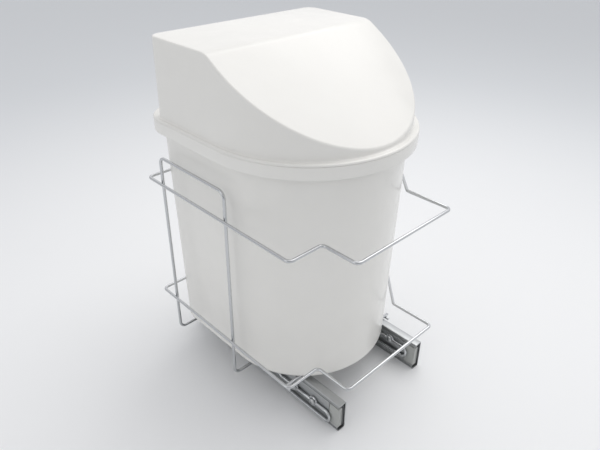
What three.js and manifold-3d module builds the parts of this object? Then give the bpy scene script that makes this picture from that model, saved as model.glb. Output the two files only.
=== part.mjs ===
// Pull-out waste bin for a kitchen cabinet: a D-plan bin and lid in a wire
// carrier that rides on two ball-bearing slides. Millimetres, +X right, +Y back,
// +Z up. The origin is on the floor, under the middle of the whole unit.
import * as THREE from 'three';
import { mergeVertices } from 'three/addons/utils/BufferGeometryUtils.js';
import Module from 'manifold-3d';

const wasm = await Module();
wasm.setup();

// ---------------------------------------------------------------- dimensions

const fitGap = 0.3; // between pieces that touch

// Ball-bearing slides. Depths count from the cabinet member's back.
const slideHeight = 45;
const slideLength = 300;
const slideDepth = 12.7; // to the drawer member's face
const slideSetBack = 20; // front wire to the slides' front ends
const slideSpread = 158; // between the wires that lie against the two slides
const sheet = 1.2; // steel of the cabinet and drawer members
const innerSheet = 1; // steel of the intermediate member
const outerBall = 3;
const innerBall = 2.7;
const ballGap = 0.3; // ball to race, and cage to member
const ballsPerRow = 5;
const ballPitch = 30;
const cageSheet = 0.4;
const outerCageShort = 1.7; // outer cage's edge to the intermediate member's lip
const innerCageShort = 0.5; // inner cage's edge to the end of the drawer member's race
const cabinetLip = 1.1; // how far the cabinet member's lips turn in
const cabinetFaceBack = 0.1; // cabinet member's face behind the drawer member's
const lipClearance = 0.9; // between the two members' lips
const intermediateFaceBack = 0.5;
const intermediateFrontShort = 2; // cabinet member's front end to the intermediate's
const intermediateBackShort = 6;
const drawerFrontShort = 17; // cabinet member's front end to the drawer member's
const drawerBackShort = 3;
const drawerClearance = 0.5; // drawer member's face to the intermediate's flanges
const drawerFlange = 6.4; // depth of the drawer member
const drawerCorner = 1.6; // from under the face to the end of the race
const drawerCornerSlope = 0.4;
const mountingHole = 4.6;
const mountingHoleInset = 35;

// Wires
const wire = 4;
const wireSides = 8;
const bendRadius = 6; // to the wire's centre line
const bendSteps = 4;
const halfLap = 0.5; // how far the two halves of a loop run into each other

// Bin
const binHalfWidth = 121; // outside, under the rim
const binCentreY = 5.2; // centre of the round front
const binDepth = 139.3; // that centre to the outside of the back
const binHeight = 308.1;
const binCorner = 30;
const binTaper = 6.2; // how far the wall leans in at the bottom
const binFoot = 8; // radius of the bottom edge
const binWall = 2;
const rimOverhang = 11.6;
const rimDepth = 15;
const rimThickness = 4;
const rimRadius = 4;

// Lid
const lidHeight = 96; // bin's rim to the flat top
const lidBackInset = 16.5; // bin's back to the lid's back
const lidSetBack = 2.8; // bin's front centre to the lid's
const lidBreak = 16; // lid's front centre to where the flat top turns into the slope
const lidCorner = 13;
const lidLean = 1.5; // how much wider the wall is at its foot
const lidWall = 2.2;
const lidEdge = 2.5; // radius of the upper edges
const lidFrontWall = 1.4; // wall left under the slope at the very front
const lidFillet = 1.4; // wall to flange
const lidLedge = 1.1; // flange beyond the fillet at the sides
const lidFlange = 2.4; // thickness of the flange on the rim
const lidFlangeInset = 2.6; // rim's outer side to the flange's edge
const lidSpigot = 9; // how deep the lid reaches into the bin
const lidSpigotGap = 1;

// Wires under the bin
const gridClearance = 0.6; // slides' tops to the cross wires
const railClearance = 4; // right slide's back to the rail wire
const railPastLeg = 5.5; // back leg to the rail wires' back ends
const railPastCross = 6; // front cross wire to the rail wires' front ends
const crossWireOverhang = 4;
const crossWireSpacing = 40; // front one to the middle one
const rearCrossFromLeg = 24.5; // rear cross wire to the back legs
const footPastRail = 3;

// Loops round the bin
const frontGap = 41.2; // round front to the front wire
const backGap = 4.5;
const topLoopDrop = 35; // side frames' tops to the top loop
const bottomLoopRise = 59; // side frames' feet to the bottom loop
const notchWidth = 47.8; // at the front left
const notchDepth = 49;
const splayWidth = 58.8; // of the 45 degree corner at the front right
const straightRight = 62.5; // front wire to where that corner starts

// Side frames
const sideGap = 8; // bin's wall to the legs
const sideFrameBelowRim = 33;
const legsFromBack = 26.5; // back wire to the back legs
const legSpacing = 126;
const sideFrameBend = 9;

// Hairpins and their screws
const hairpinPitch = 16; // between the two runs
const hairpinNose = 1; // straight part of the front bend
const hairpinAhead = 5.5; // how far the bend stands ahead of the drawer member's end
const hairpinLiftLeft = 0.5; // slide's middle to the upper run
const hairpinLiftRight = 9;
const hairpinRise = 31; // second eye to where the upper run rises
const eyeDiameter = 14;
const eyeThickness = 3;
const eyeRim = 0.6; // left standing where the wire runs into the eye
const firstEye = 26; // drawer member's end to the first eye
const eyeSpacing = 35;
const screwShank = 3.8;
const screwClearance = 0.4; // shank to hole
const screwLength = 8;
const screwHead = 10;
const screwHeadHeight = 3;
const screwCrown = 1; // how much the head narrows to its top
const recessWidth = 1.3;
const recessSpan = 5.2;
const recessDepth = 1.5;

// End caps of the drawer members
const capDepth = 6.5;
const capRecess = 0.2; // behind the drawer member's face
const capSetBack = 0.5; // slide's front end to the cap
const capClearance = 1.1; // cap's face to the intermediate's flanges
const tongueLength = 10;
const tongueStep = 1; // cap's back to the tongue's back
const tongueClearance = 0.6; // tongue to the drawer member's flanges

// Outline facets
const frontFacets = 32;
const cornerFacets = 4;
const arcFacets = 3;

// ------------------------------------------------------------ derived places

const wireRadius = wire / 2;
const wirePitch = wire + fitGap; // between the centre lines of crossing wires

// Heights, from the floor up
const slideMiddleZ = slideHeight / 2;
const crossWireZ = slideHeight + gridClearance + wireRadius;
const railWireZ = crossWireZ - wirePitch;
const sideFrameFootZ = railWireZ - wirePitch;
const binFloorZ = crossWireZ + wireRadius + fitGap;
const binTopZ = binFloorZ + binHeight;
const rimSkirtZ = binTopZ - rimDepth;
const sideFrameTopZ = rimSkirtZ - sideFrameBelowRim;
const topLoopZ = sideFrameTopZ - topLoopDrop;
const bottomLoopZ = sideFrameFootZ + bottomLoopRise;
const lidSeatZ = binTopZ + fitGap;
const lidHighZ = binTopZ + lidHeight;
const lidLowZ = lidSeatZ + lidFlange + lidFillet + lidFrontWall + lidEdge;

// Across, from the middle out
const legX = binHalfWidth + sideGap + wireRadius;
const sideWireX = legX + wirePitch;
const hairpinOut = slideDepth + fitGap + wireRadius; // cabinet member's back to the wire
const leftBackX = hairpinOut - slideSpread / 2;
const rightBackX = hairpinOut + slideSpread / 2;
const railWireX = rightBackX + railClearance + wireRadius;

// Front to back
const binBackY = binCentreY + binDepth;
const frontWireY = binCentreY - binHalfWidth - frontGap - wireRadius;
const backWireY = binBackY + backGap + wireRadius;
const backLegY = backWireY - legsFromBack;
const frontLegY = backLegY - legSpacing;
const slideFrontY = frontWireY + slideSetBack;
const slideBackY = slideFrontY + slideLength;
const drawerFrontY = slideFrontY + drawerFrontShort;
const drawerBackY = slideBackY - drawerBackShort;
const firstEyeY = drawerFrontY + firstEye;
const secondEyeY = firstEyeY + eyeSpacing;
const crossWireMiddleY = secondEyeY + hairpinRise;
const crossWireFrontY = crossWireMiddleY - crossWireSpacing;
const crossWireRearY = backLegY - rearCrossFromLeg;
const lidCentreY = binCentreY + lidSetBack;
const lidBreakY = lidCentreY + lidBreak;
const lidBackY = binBackY - lidBackInset;

// Lid over the rim, counted from the bin's wall
const flangeEdge = rimOverhang - lidFlangeInset;
const spigotOut = -binWall - lidSpigotGap;
const lidHalfWidth = binHalfWidth + flangeEdge - lidLedge - lidFillet - lidLean;

// Screws through the eyes
const eyeHole = screwShank + 2 * screwClearance;
const eyeFace = slideDepth + fitGap + eyeThickness;
const hairpinLift = { left: hairpinLiftLeft, right: hairpinLiftRight };

// ----------------------------------------------------------------- materials

const chrome = () => new THREE.MeshStandardMaterial({ color: 0xc9ccd0, roughness: 0.12, metalness: 1 });
const zinc = () => new THREE.MeshStandardMaterial({ color: 0x9fa3a5, roughness: 0.38, metalness: 1 });
const screwSteel = () => new THREE.MeshStandardMaterial({ color: 0xb4b6b8, roughness: 0.3, metalness: 1 });
const ballSteel = () => new THREE.MeshStandardMaterial({ color: 0x8d9094, roughness: 0.25, metalness: 1 });
const capPlastic = () => new THREE.MeshStandardMaterial({ color: 0xb9bbb8, roughness: 0.5, metalness: 0 });
const glossWhite = () => new THREE.MeshStandardMaterial({ color: 0xf1f1ee, roughness: 0.18, metalness: 0 });

// ------------------------------------------------------------------- helpers

// Closed solid from a geometry whose seams share their points.
function toSolid(geometry) {
  const bare = geometry.clone();
  bare.deleteAttribute('normal');
  bare.deleteAttribute('uv');
  const merged = mergeVertices(bare, 1e-4);
  const mesh = new wasm.Mesh({
    numProp: 3,
    vertProperties: Float32Array.from(merged.attributes.position.array),
    triVerts: Uint32Array.from(merged.index.array),
  });
  return new wasm.Manifold(mesh);
}

function toGeometry(solid) {
  const mesh = solid.getMesh();
  const geometry = new THREE.BufferGeometry();
  geometry.setAttribute('position', new THREE.BufferAttribute(Float32Array.from(mesh.vertProperties), 3));
  geometry.setIndex(new THREE.BufferAttribute(Uint32Array.from(mesh.triVerts), 1));
  geometry.computeVertexNormals();
  return geometry;
}

function join(...geometries) {
  return toGeometry(geometries.map(toSolid).reduce((all, next) => all.add(next)));
}

function cut(geometry, ...tools) {
  return toGeometry(tools.map(toSolid).reduce((rest, tool) => rest.subtract(tool), toSolid(geometry)));
}

function addPiece(group, name, geometry, material) {
  const mesh = new THREE.Mesh(geometry, material);
  mesh.name = name;
  group.add(mesh);
  return mesh;
}

// A route of straight runs whose corners are rounded to one bend radius.
// The first and last points stay sharp.
class BentRoute extends THREE.Curve {
  constructor(corners, radius) {
    super();
    this.stations = [];
    const last = corners.length - 1;
    corners.forEach((corner, i) => {
      if (i === 0 || i === last) {
        const along = i === 0 ? corners[1].clone().sub(corner) : corner.clone().sub(corners[last - 1]);
        this.stations.push({ point: corner, tangent: along.normalize() });
        return;
      }
      this.bend(corners[i - 1], corner, corners[i + 1], radius);
    });
  }

  bend(before, corner, after, radius) {
    const inward = corner.clone().sub(before).normalize();
    const outward = after.clone().sub(corner).normalize();
    const turn = inward.angleTo(outward);
    const setBack = radius * Math.tan(turn / 2);
    const start = corner.clone().addScaledVector(inward, -setBack);
    const side = outward.clone().addScaledVector(inward, -outward.dot(inward)).normalize();
    for (let k = 0; k <= bendSteps; k += 1) {
      const angle = (turn * k) / bendSteps;
      const point = start.clone();
      point.addScaledVector(inward, radius * Math.sin(angle));
      point.addScaledVector(side, radius * (1 - Math.cos(angle)));
      const tangent = inward.clone().multiplyScalar(Math.cos(angle));
      tangent.addScaledVector(side, Math.sin(angle));
      this.stations.push({ point, tangent: tangent.normalize() });
    }
  }

  station(u) {
    return this.stations[Math.round(u * (this.stations.length - 1))];
  }

  getPointAt(u, target = new THREE.Vector3()) {
    return target.copy(this.station(u).point);
  }

  getTangentAt(u, target = new THREE.Vector3()) {
    return target.copy(this.station(u).tangent);
  }
}

function wireSection() {
  const section = new THREE.Shape();
  for (let k = 0; k < wireSides; k += 1) {
    const angle = (2 * Math.PI * k) / wireSides;
    const x = wireRadius * Math.cos(angle);
    const y = wireRadius * Math.sin(angle);
    if (k === 0) section.moveTo(x, y);
    else section.lineTo(x, y);
  }
  section.closePath();
  return section;
}

// Round wire along a list of corner points.
function bentWire(corners, radius = bendRadius) {
  const points = corners.map(([x, y, z]) => new THREE.Vector3(x, y, z));
  const route = new BentRoute(points, radius);
  const steps = route.stations.length - 1;
  return new THREE.ExtrudeGeometry(wireSection(), { steps, extrudePath: route });
}

// Bar of constant section in the x-z plane, from backY forward by its length.
function barAlongY(points, backY, length) {
  const outline = new THREE.Shape(points.map(([x, z]) => new THREE.Vector2(x, z)));
  const geometry = new THREE.ExtrudeGeometry(outline, { depth: length, bevelEnabled: false });
  geometry.rotateX(Math.PI / 2);
  geometry.translate(0, backY, 0);
  return geometry;
}

// Cylinder along X, from x0 to x1.
function cylinderAlongX(radius, x0, x1, y, z, sides) {
  const geometry = new THREE.CylinderGeometry(radius, radius, Math.abs(x1 - x0), sides);
  geometry.rotateZ(Math.PI / 2);
  geometry.translate((x0 + x1) / 2, y, z);
  return geometry;
}

// -------------------------------------------------------------------- slides

// Sections are drawn for one slide whose cabinet member's back lies at x = 0
// and whose drawer member faces -X. Heights count from the slide's middle.
const flangeIn = slideHeight / 2 - sheet; // inside of the cabinet member's flanges
const outerBallZ = flangeIn - ballGap - outerBall / 2;
const middleOut = outerBallZ - outerBall / 2 - ballGap; // outside of the intermediate's flanges
const middleIn = middleOut - innerSheet;
const innerBallZ = middleIn - ballGap - innerBall / 2;
const drawerRace = innerBallZ - innerBall / 2 - ballGap; // drawer member's flange at the balls
const drawerEdge = middleIn - drawerClearance; // corner of the drawer member's face
const cabinetLipZ = flangeIn - cabinetLip; // inner edge of the cabinet member's lips
const middleLipZ = cabinetLipZ - lipClearance; // outer edge of the intermediate's lips
const cabinetFace = slideDepth - cabinetFaceBack;
const middleBack = sheet + cageSheet + 2 * ballGap; // back of the intermediate's web
const middleFace = slideDepth - intermediateFaceBack;
const raceEnd = slideDepth - sheet - drawerCorner; // drawer member's race, back to front
const raceStart = slideDepth - drawerFlange;

// Mirrors the upper half of an outline below the slide's middle.
function bothHalves(upper) {
  const lower = upper.map(([x, z]) => [x, -z]).reverse();
  return [...upper, ...lower];
}

function cabinetMember() {
  const top = slideHeight / 2;
  const round = sheet * 0.7;
  const outline = bothHalves([
    [-sheet, flangeIn],
    [-cabinetFace + sheet, flangeIn],
    [-cabinetFace + sheet, cabinetLipZ],
    [-cabinetFace, cabinetLipZ],
    [-cabinetFace, top - round],
    [-cabinetFace + round, top],
    [-round, top],
    [0, top - round],
  ]);
  const channel = barAlongY(outline, slideBackY, slideLength);
  const holes = [slideFrontY + mountingHoleInset, slideBackY - mountingHoleInset].map(
    (y) => cylinderAlongX(mountingHole / 2, sheet, -2 * sheet, y, 0, 12),
  );
  return cut(channel, ...holes);
}

function intermediateMember() {
  const round = innerSheet * 0.7;
  const outline = bothHalves([
    [-middleBack - innerSheet, middleIn],
    [-middleFace, middleIn],
    [-middleFace, middleLipZ],
    [-middleFace + innerSheet, middleLipZ],
    [-middleFace + innerSheet, middleOut],
    [-middleBack - round, middleOut],
    [-middleBack, middleOut - round],
  ]);
  const length = slideLength - intermediateFrontShort - intermediateBackShort;
  return barAlongY(outline, slideBackY - intermediateBackShort, length);
}

function drawerMember(side) {
  const round = sheet * 0.5;
  const outline = bothHalves([
    [-slideDepth + sheet, drawerEdge - sheet],
    [-raceEnd - drawerCornerSlope, drawerEdge - sheet],
    [-raceEnd, drawerRace - sheet],
    [-raceStart, drawerRace - sheet],
    [-raceStart, drawerRace],
    [-raceEnd, drawerRace],
    [-raceEnd - round, drawerEdge],
    [-slideDepth + round, drawerEdge],
    [-slideDepth, drawerEdge - round],
  ]);
  const bar = barAlongY(outline, drawerBackY, drawerBackY - drawerFrontY);
  const holes = [firstEyeY, secondEyeY, crossWireRearY].map(
    (y) => cylinderAlongX(eyeHole / 2, -slideDepth - sheet, -raceEnd, y, hairpinLift[side], 12),
  );
  return cut(bar, ...holes);
}

// Thin U of sheet with a row of balls through each flange.
function ballCage(webDepth, edgeDepth, ballDepth, ballZ, ballDiameter) {
  const middleY = (slideFrontY + slideBackY) / 2;
  const rowLength = ballPitch * (ballsPerRow - 1);
  const reach = rowLength / 2 + ballDiameter * 2;
  const half = cageSheet / 2;
  const outline = bothHalves([
    [-webDepth - cageSheet, ballZ - half],
    [-edgeDepth, ballZ - half],
    [-edgeDepth, ballZ + half],
    [-webDepth, ballZ + half],
  ]);
  const parts = [barAlongY(outline, middleY + reach, 2 * reach)];
  for (const side of [-1, 1]) {
    for (let k = 0; k < ballsPerRow; k += 1) {
      const ball = new THREE.SphereGeometry(ballDiameter / 2, 8, 6);
      ball.translate(-ballDepth, middleY - rowLength / 2 + k * ballPitch, side * ballZ);
      parts.push(ball);
    }
  }
  return join(...parts);
}

function outerCage() {
  const edge = middleFace - innerSheet - outerCageShort;
  return ballCage(sheet + ballGap, edge, slideDepth / 2, outerBallZ, outerBall);
}

function innerCage() {
  const web = middleBack + innerSheet + ballGap;
  const edge = raceEnd - innerCageShort;
  return ballCage(web, edge, (raceStart + raceEnd) / 2, innerBallZ, innerBall);
}

// Box from its low corner to its high corner.
function boxBetween(low, high) {
  const size = high.map((value, i) => value - low[i]);
  const geometry = new THREE.BoxGeometry(...size);
  geometry.translate(...low.map((value, i) => value + size[i] / 2));
  return geometry;
}

function endCap() {
  const face = slideDepth - capRecess;
  const back = face - capDepth;
  const halfFace = middleIn - capClearance;
  const halfTongue = drawerRace - sheet - tongueClearance;
  const block = boxBetween(
    [-face, slideFrontY + capSetBack, -halfFace],
    [-back, drawerFrontY - fitGap, halfFace],
  );
  const tongue = boxBetween(
    [-slideDepth + sheet + fitGap, drawerFrontY - 2 * fitGap, -halfTongue],
    [-back - tongueStep, drawerFrontY + tongueLength, halfTongue],
  );
  return join(block, tongue);
}

function slide(side, backX) {
  const group = new THREE.Group();
  group.position.set(backX, 0, slideMiddleZ);
  addPiece(group, `cabinet_member_${side}`, cabinetMember(), zinc());
  addPiece(group, `intermediate_member_${side}`, intermediateMember(), zinc());
  addPiece(group, `drawer_member_${side}`, drawerMember(side), zinc());
  addPiece(group, `outer_ball_cage_${side}`, outerCage(), ballSteel());
  addPiece(group, `inner_ball_cage_${side}`, innerCage(), ballSteel());
  addPiece(group, `end_cap_${side}`, endCap(), capPlastic());
  return group;
}

// ------------------------------------------------------------------ hairpins

// Wire in the slide's plane: down from a cross wire, forward through two eyes,
// round the front bend, back along the lower run and up through the third eye.
function hairpin(side) {
  const x = -hairpinOut;
  const high = hairpinLift[side];
  const low = high - hairpinPitch;
  const top = crossWireZ - wireRadius - fitGap - slideMiddleZ;
  const bendFront = drawerFrontY - hairpinAhead + wireRadius;
  const rod = bentWire([
    [x, crossWireMiddleY, top],
    [x, crossWireMiddleY, high],
    [x, bendFront, high],
    [x, bendFront, low],
    [x, crossWireRearY, low],
    [x, crossWireRearY, top],
  ], (hairpinPitch - hairpinNose) / 2);
  const eyes = [firstEyeY, secondEyeY, crossWireRearY];
  const back = -slideDepth - fitGap;
  const front = -eyeFace;
  const above = front - wire;
  const discs = eyes.map((y) => cylinderAlongX(eyeDiameter / 2, back, front, y, high, 24));
  const seats = eyes.map((y) => cylinderAlongX(eyeDiameter / 2 - eyeRim, front, above, y, high, 24));
  const holes = eyes.map((y) => cylinderAlongX(eyeHole / 2, back + fitGap, above, y, high, 12));
  return cut(cut(join(rod, ...discs), ...seats), ...holes);
}

function screw() {
  const underHead = eyeFace + fitGap;
  const top = underHead + screwHeadHeight;
  const head = new THREE.CylinderGeometry(screwHead / 2, screwHead / 2 - screwCrown, screwHeadHeight, 20);
  head.rotateZ(-Math.PI / 2);
  head.translate(-(underHead + top) / 2, 0, 0);
  const shank = cylinderAlongX(screwShank / 2, -underHead - fitGap, -underHead + screwLength, 0, 0, 12);
  const slots = [[recessWidth, recessSpan], [recessSpan, recessWidth]].map(([y, z]) => {
    const slot = new THREE.BoxGeometry(recessDepth * 2, y, z);
    slot.translate(-top, 0, 0);
    return slot;
  });
  return cut(join(head, shank), ...slots);
}

function slideFixings(side, backX) {
  const group = new THREE.Group();
  group.position.set(backX, 0, slideMiddleZ);
  addPiece(group, `hairpin_${side}`, hairpin(side), chrome());
  const places = { front: firstEyeY, middle: secondEyeY, rear: crossWireRearY };
  for (const [place, y] of Object.entries(places)) {
    addPiece(group, `screw_${side}_${place}`, screw(), screwSteel()).position.set(0, y, hairpinLift[side]);
  }
  return group;
}

// -------------------------------------------------------------- wire carrier

// One loop in two bent halves that meet in the middle of the front and back.
function loop(z) {
  const notchX = notchWidth - sideWireX;
  const splayX = sideWireX - splayWidth;
  const splayY = frontWireY + straightRight;
  const left = bentWire([
    [halfLap, backWireY, z],
    [-sideWireX, backWireY, z],
    [-sideWireX, frontWireY + notchDepth, z],
    [notchX, frontWireY + notchDepth, z],
    [notchX, frontWireY, z],
    [halfLap, frontWireY, z],
  ]);
  const right = bentWire([
    [-halfLap, backWireY, z],
    [sideWireX, backWireY, z],
    [sideWireX, splayY + splayWidth, z],
    [splayX, splayY, z],
    [splayX, frontWireY, z],
    [-halfLap, frontWireY, z],
  ]);
  return join(left, right);
}

function sideFrame(sign) {
  const footEndX = railWireX - footPastRail;
  return bentWire([
    [sign * footEndX, frontLegY, sideFrameFootZ],
    [sign * legX, frontLegY, sideFrameFootZ],
    [sign * legX, frontLegY, sideFrameTopZ],
    [sign * legX, backLegY, sideFrameTopZ],
    [sign * legX, backLegY, sideFrameFootZ],
    [sign * footEndX, backLegY, sideFrameFootZ],
  ], sideFrameBend);
}

function carrier() {
  const group = new THREE.Group();
  addPiece(group, 'top_loop', loop(topLoopZ), chrome());
  addPiece(group, 'bottom_loop', loop(bottomLoopZ), chrome());
  for (const [side, sign] of [['left', -1], ['right', 1]]) {
    addPiece(group, `side_frame_${side}`, sideFrame(sign), chrome());
    const x = sign * railWireX;
    const railBack = backLegY + railPastLeg;
    const railFront = crossWireFrontY - railPastCross;
    const rail = bentWire([[x, railBack, railWireZ], [x, railFront, railWireZ]]);
    addPiece(group, `rail_wire_${side}`, rail, chrome());
  }
  const crossings = { front: crossWireFrontY, middle: crossWireMiddleY, rear: crossWireRearY };
  for (const [place, y] of Object.entries(crossings)) {
    const reach = railWireX + crossWireOverhang;
    const cross = bentWire([[-reach, y, crossWireZ], [reach, y, crossWireZ]]);
    addPiece(group, `cross_wire_${place}`, cross, chrome());
  }
  return group;
}

// --------------------------------------------------------------- bin and lid

// D-shaped ring seen from above, anticlockwise from the right end of the
// cross line at breakY: back corners, left end of the line, round front.
function dOutline(halfWidth, backY, centreY, corner, breakY) {
  const points = [[halfWidth, breakY]];
  for (const [x, from] of [[halfWidth - corner, 0], [corner - halfWidth, Math.PI / 2]]) {
    for (let k = 0; k <= cornerFacets; k += 1) {
      const angle = from + (Math.PI / 2) * (k / cornerFacets);
      points.push([x + corner * Math.cos(angle), backY - corner + corner * Math.sin(angle)]);
    }
  }
  points.push([-halfWidth, breakY]);
  for (let k = 0; k <= frontFacets; k += 1) {
    const angle = Math.PI * (1 + k / frontFacets);
    points.push([halfWidth * Math.cos(angle), centreY + halfWidth * Math.sin(angle)]);
  }
  return points;
}

// Closed skin through a list of rings, with a lid on the first and the last.
// Each end is flat, or folded along the rings' cross line.
function skin(rings) {
  const count = rings[0].length;
  const foldEnd = 2 * (cornerFacets + 1) + 1;
  const index = [];
  for (let r = 0; r + 1 < rings.length; r += 1) {
    for (let k = 0; k < count; k += 1) {
      const a = r * count + k;
      const b = r * count + ((k + 1) % count);
      index.push(a, b, b + count, a, b + count, a + count);
    }
  }
  const end = (base, flip) => {
    const triangle = (i, j, k) => index.push(base + i, base + (flip ? k : j), base + (flip ? j : k));
    for (let k = 1; k < foldEnd; k += 1) triangle(0, k, k + 1);
    for (let k = foldEnd + 1; k + 1 < count; k += 1) triangle(foldEnd, k, k + 1);
    triangle(foldEnd, count - 1, 0);
  };
  end(0, true);
  end((rings.length - 1) * count, false);
  const geometry = new THREE.BufferGeometry();
  geometry.setAttribute('position', new THREE.Float32BufferAttribute(rings.flat(2), 3));
  geometry.setIndex(index);
  geometry.computeVertexNormals();
  return geometry;
}

// Ring of the bin's outline, moved outward by out, at height z.
function binRing(out, z) {
  const half = binHalfWidth + out;
  const outline = dOutline(half, binBackY + out, binCentreY, binCorner + out, lidBreakY);
  return outline.map(([x, y]) => [x, y, z]);
}

function wasteBin() {
  const foot = -binTaper;
  const arc = (step) => (Math.PI / 2) * (step / arcFacets);
  const underRimZ = binTopZ - rimThickness;
  const rings = [];
  for (let k = 0; k <= arcFacets; k += 1) {
    const out = foot - binFoot + binFoot * Math.sin(arc(k));
    rings.push(binRing(out, binFloorZ + binFoot - binFoot * Math.cos(arc(k))));
  }
  rings.push(binRing(0, underRimZ));
  rings.push(binRing(rimOverhang - binWall, underRimZ));
  rings.push(binRing(rimOverhang - binWall, rimSkirtZ));
  rings.push(binRing(rimOverhang, rimSkirtZ));
  for (let k = 0; k <= arcFacets; k += 1) {
    const out = rimOverhang - rimRadius + rimRadius * Math.cos(arc(k));
    rings.push(binRing(out, binTopZ - rimRadius + rimRadius * Math.sin(arc(k))));
  }
  rings.push(binRing(-binWall, binTopZ));
  rings.push(binRing(foot - binWall, binFloorZ + binFoot));
  rings.push(binRing(foot - binFoot, binFloorZ + binWall));
  return skin(rings);
}

// Height of the lid's outer top over a point, and the ring of its wall there.
function lidTop(y) {
  const frontY = lidCentreY - lidHalfWidth;
  const slope = (lidHighZ - lidLowZ) / (lidBreakY - frontY);
  return y >= lidBreakY ? lidHighZ : lidHighZ - (lidBreakY - y) * slope;
}

function lidOutline(out) {
  const half = lidHalfWidth + out;
  return dOutline(half, lidBackY + out, lidCentreY, lidCorner + out, lidBreakY);
}

function lid() {
  const roofRing = (out, drop) => lidOutline(out).map(([x, y]) => [x, y, lidTop(y) - drop]);
  const wallRing = (out, z) => lidOutline(out).map(([x, y]) => [x, y, z]);
  const flangeTopZ = lidSeatZ + lidFlange;
  const spigotFootZ = lidSeatZ - lidSpigot;
  const insideOut = spigotOut - lidWall;
  const rings = [
    roofRing(-lidEdge, 0),
    roofRing(-lidEdge * 0.3, lidEdge * 0.3),
    roofRing(0, lidEdge),
    wallRing(lidLean, flangeTopZ + lidFillet),
    wallRing(lidLean + lidFillet * 0.3, flangeTopZ + lidFillet * 0.3),
    wallRing(lidLean + lidFillet, flangeTopZ),
    binRing(flangeEdge, flangeTopZ),
    binRing(flangeEdge, lidSeatZ),
    binRing(spigotOut, lidSeatZ),
    binRing(spigotOut, spigotFootZ),
    binRing(insideOut, spigotFootZ),
    binRing(insideOut, lidSeatZ - lidWall),
    wallRing(lidLean - lidWall, flangeTopZ),
    roofRing(-lidWall, lidWall + lidEdge),
  ];
  return skin(rings.reverse());
}

// ------------------------------------------------------------------ assembly

const unit = new THREE.Group();
unit.add(slide('left', leftBackX));
unit.add(slide('right', rightBackX));
unit.add(slideFixings('left', leftBackX));
unit.add(slideFixings('right', rightBackX));
unit.add(carrier());
addPiece(unit, 'waste_bin', wasteBin(), glossWhite());
addPiece(unit, 'lid', lid(), glossWhite());

export default unit;
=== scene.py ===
# %% [markdown]
# # A pull-out waste bin on two ball-bearing slides
#
# The real object is three trades in one: a pair of pressed steel drawer slides, a carrier bent
# and welded from 4 mm wire and then chrome plated, and a bin and lid moulded in white plastic.
# This lesson dresses each of them the way it is made. Wires are bent, sheet is folded and
# drilled, and moulded walls are swept round their own outline. The measured model comes in
# first, and each drawn part is hidden once the piece that stands for it is made.

# %% Load the measured model
import bpy
import bmesh
import math
from mathutils import Matrix, Vector


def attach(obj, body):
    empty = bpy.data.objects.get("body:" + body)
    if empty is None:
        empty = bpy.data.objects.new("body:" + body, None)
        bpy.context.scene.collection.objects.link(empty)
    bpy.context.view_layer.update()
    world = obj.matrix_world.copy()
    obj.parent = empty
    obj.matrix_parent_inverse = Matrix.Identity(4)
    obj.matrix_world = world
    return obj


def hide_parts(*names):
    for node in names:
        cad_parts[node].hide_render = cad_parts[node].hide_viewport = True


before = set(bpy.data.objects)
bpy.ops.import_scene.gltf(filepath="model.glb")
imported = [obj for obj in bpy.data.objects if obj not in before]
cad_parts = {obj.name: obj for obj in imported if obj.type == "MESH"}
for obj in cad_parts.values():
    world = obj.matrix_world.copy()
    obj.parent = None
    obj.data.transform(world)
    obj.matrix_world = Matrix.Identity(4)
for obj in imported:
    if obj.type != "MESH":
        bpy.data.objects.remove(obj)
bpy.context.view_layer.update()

# %% [markdown]
# ## From a shape to a piece
#
# Drawings of such hardware are in millimetres, and Blender works in metres. Shapes below are
# made at drawing size in a bmesh and shrunk once, when they become an object. Curved faces are
# shaded smooth, and edges of more than 40 degrees stay sharp. Each piece then takes its finish,
# the drawn nodes it stands for are hidden, and it hangs on an empty named for the body that carries
# it.

# %% From a shape to a piece
mm = 0.001
sharp_from = math.radians(40)


def soften(mesh):
    mesh.shade_smooth()
    mesh.set_sharp_from_angle(angle=sharp_from)


def piece_from(name, shape):
    bmesh.ops.scale(shape, vec=(mm, mm, mm), verts=shape.verts)
    mesh = bpy.data.meshes.new(name)
    shape.to_mesh(mesh)
    shape.free()
    soften(mesh)
    piece = bpy.data.objects.new(name, mesh)
    bpy.context.scene.collection.objects.link(piece)
    return piece


def fit(piece, body, slot, finish, *nodes):
    piece.data.materials.clear()
    piece.data.materials.append(finish)
    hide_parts(*nodes)
    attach(piece, body)
    piece.data.calc_loop_triangles()
    print(piece.name, "on", body, len(piece.data.loop_triangles), "triangles")


print("one drawn millimetre is", mm, "metres")

# %% [markdown]
# ## How a finish is built
#
# Every finish is a small net of shader nodes. Colours are picked as sRGB hex values, as a paint
# chip would be, and turned to the linear light that the shader works in by one function.
# Patterns follow Object coordinates, which are metres on the real thing, so a noise scale of
# 1000 divided by a size in millimetres gives grains of that size.

# %% Colour and node helpers
def linear(hex_code):
    channels = [int(hex_code[i:i + 2], 16) / 255 for i in (1, 3, 5)]
    light = [c / 12.92 if c <= 0.04045 else ((c + 0.055) / 1.055) ** 2.4 for c in channels]
    return (*light, 1.0)


def add(tree, kind, links=None, **settings):
    node = tree.nodes.new(kind)
    for name, value in settings.items():
        setattr(node, name, value)
    for name, value in (links or {}).items():
        if isinstance(value, bpy.types.NodeSocket):
            tree.links.new(value, node.inputs[name])
        else:
            node.inputs[name].default_value = value
    return node


def per_mm(size):
    return 1000 / size


def start_finish(name):
    finish = bpy.data.materials.new(name)
    finish.use_nodes = True
    finish.node_tree.nodes.clear()
    return finish, finish.node_tree


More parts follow.
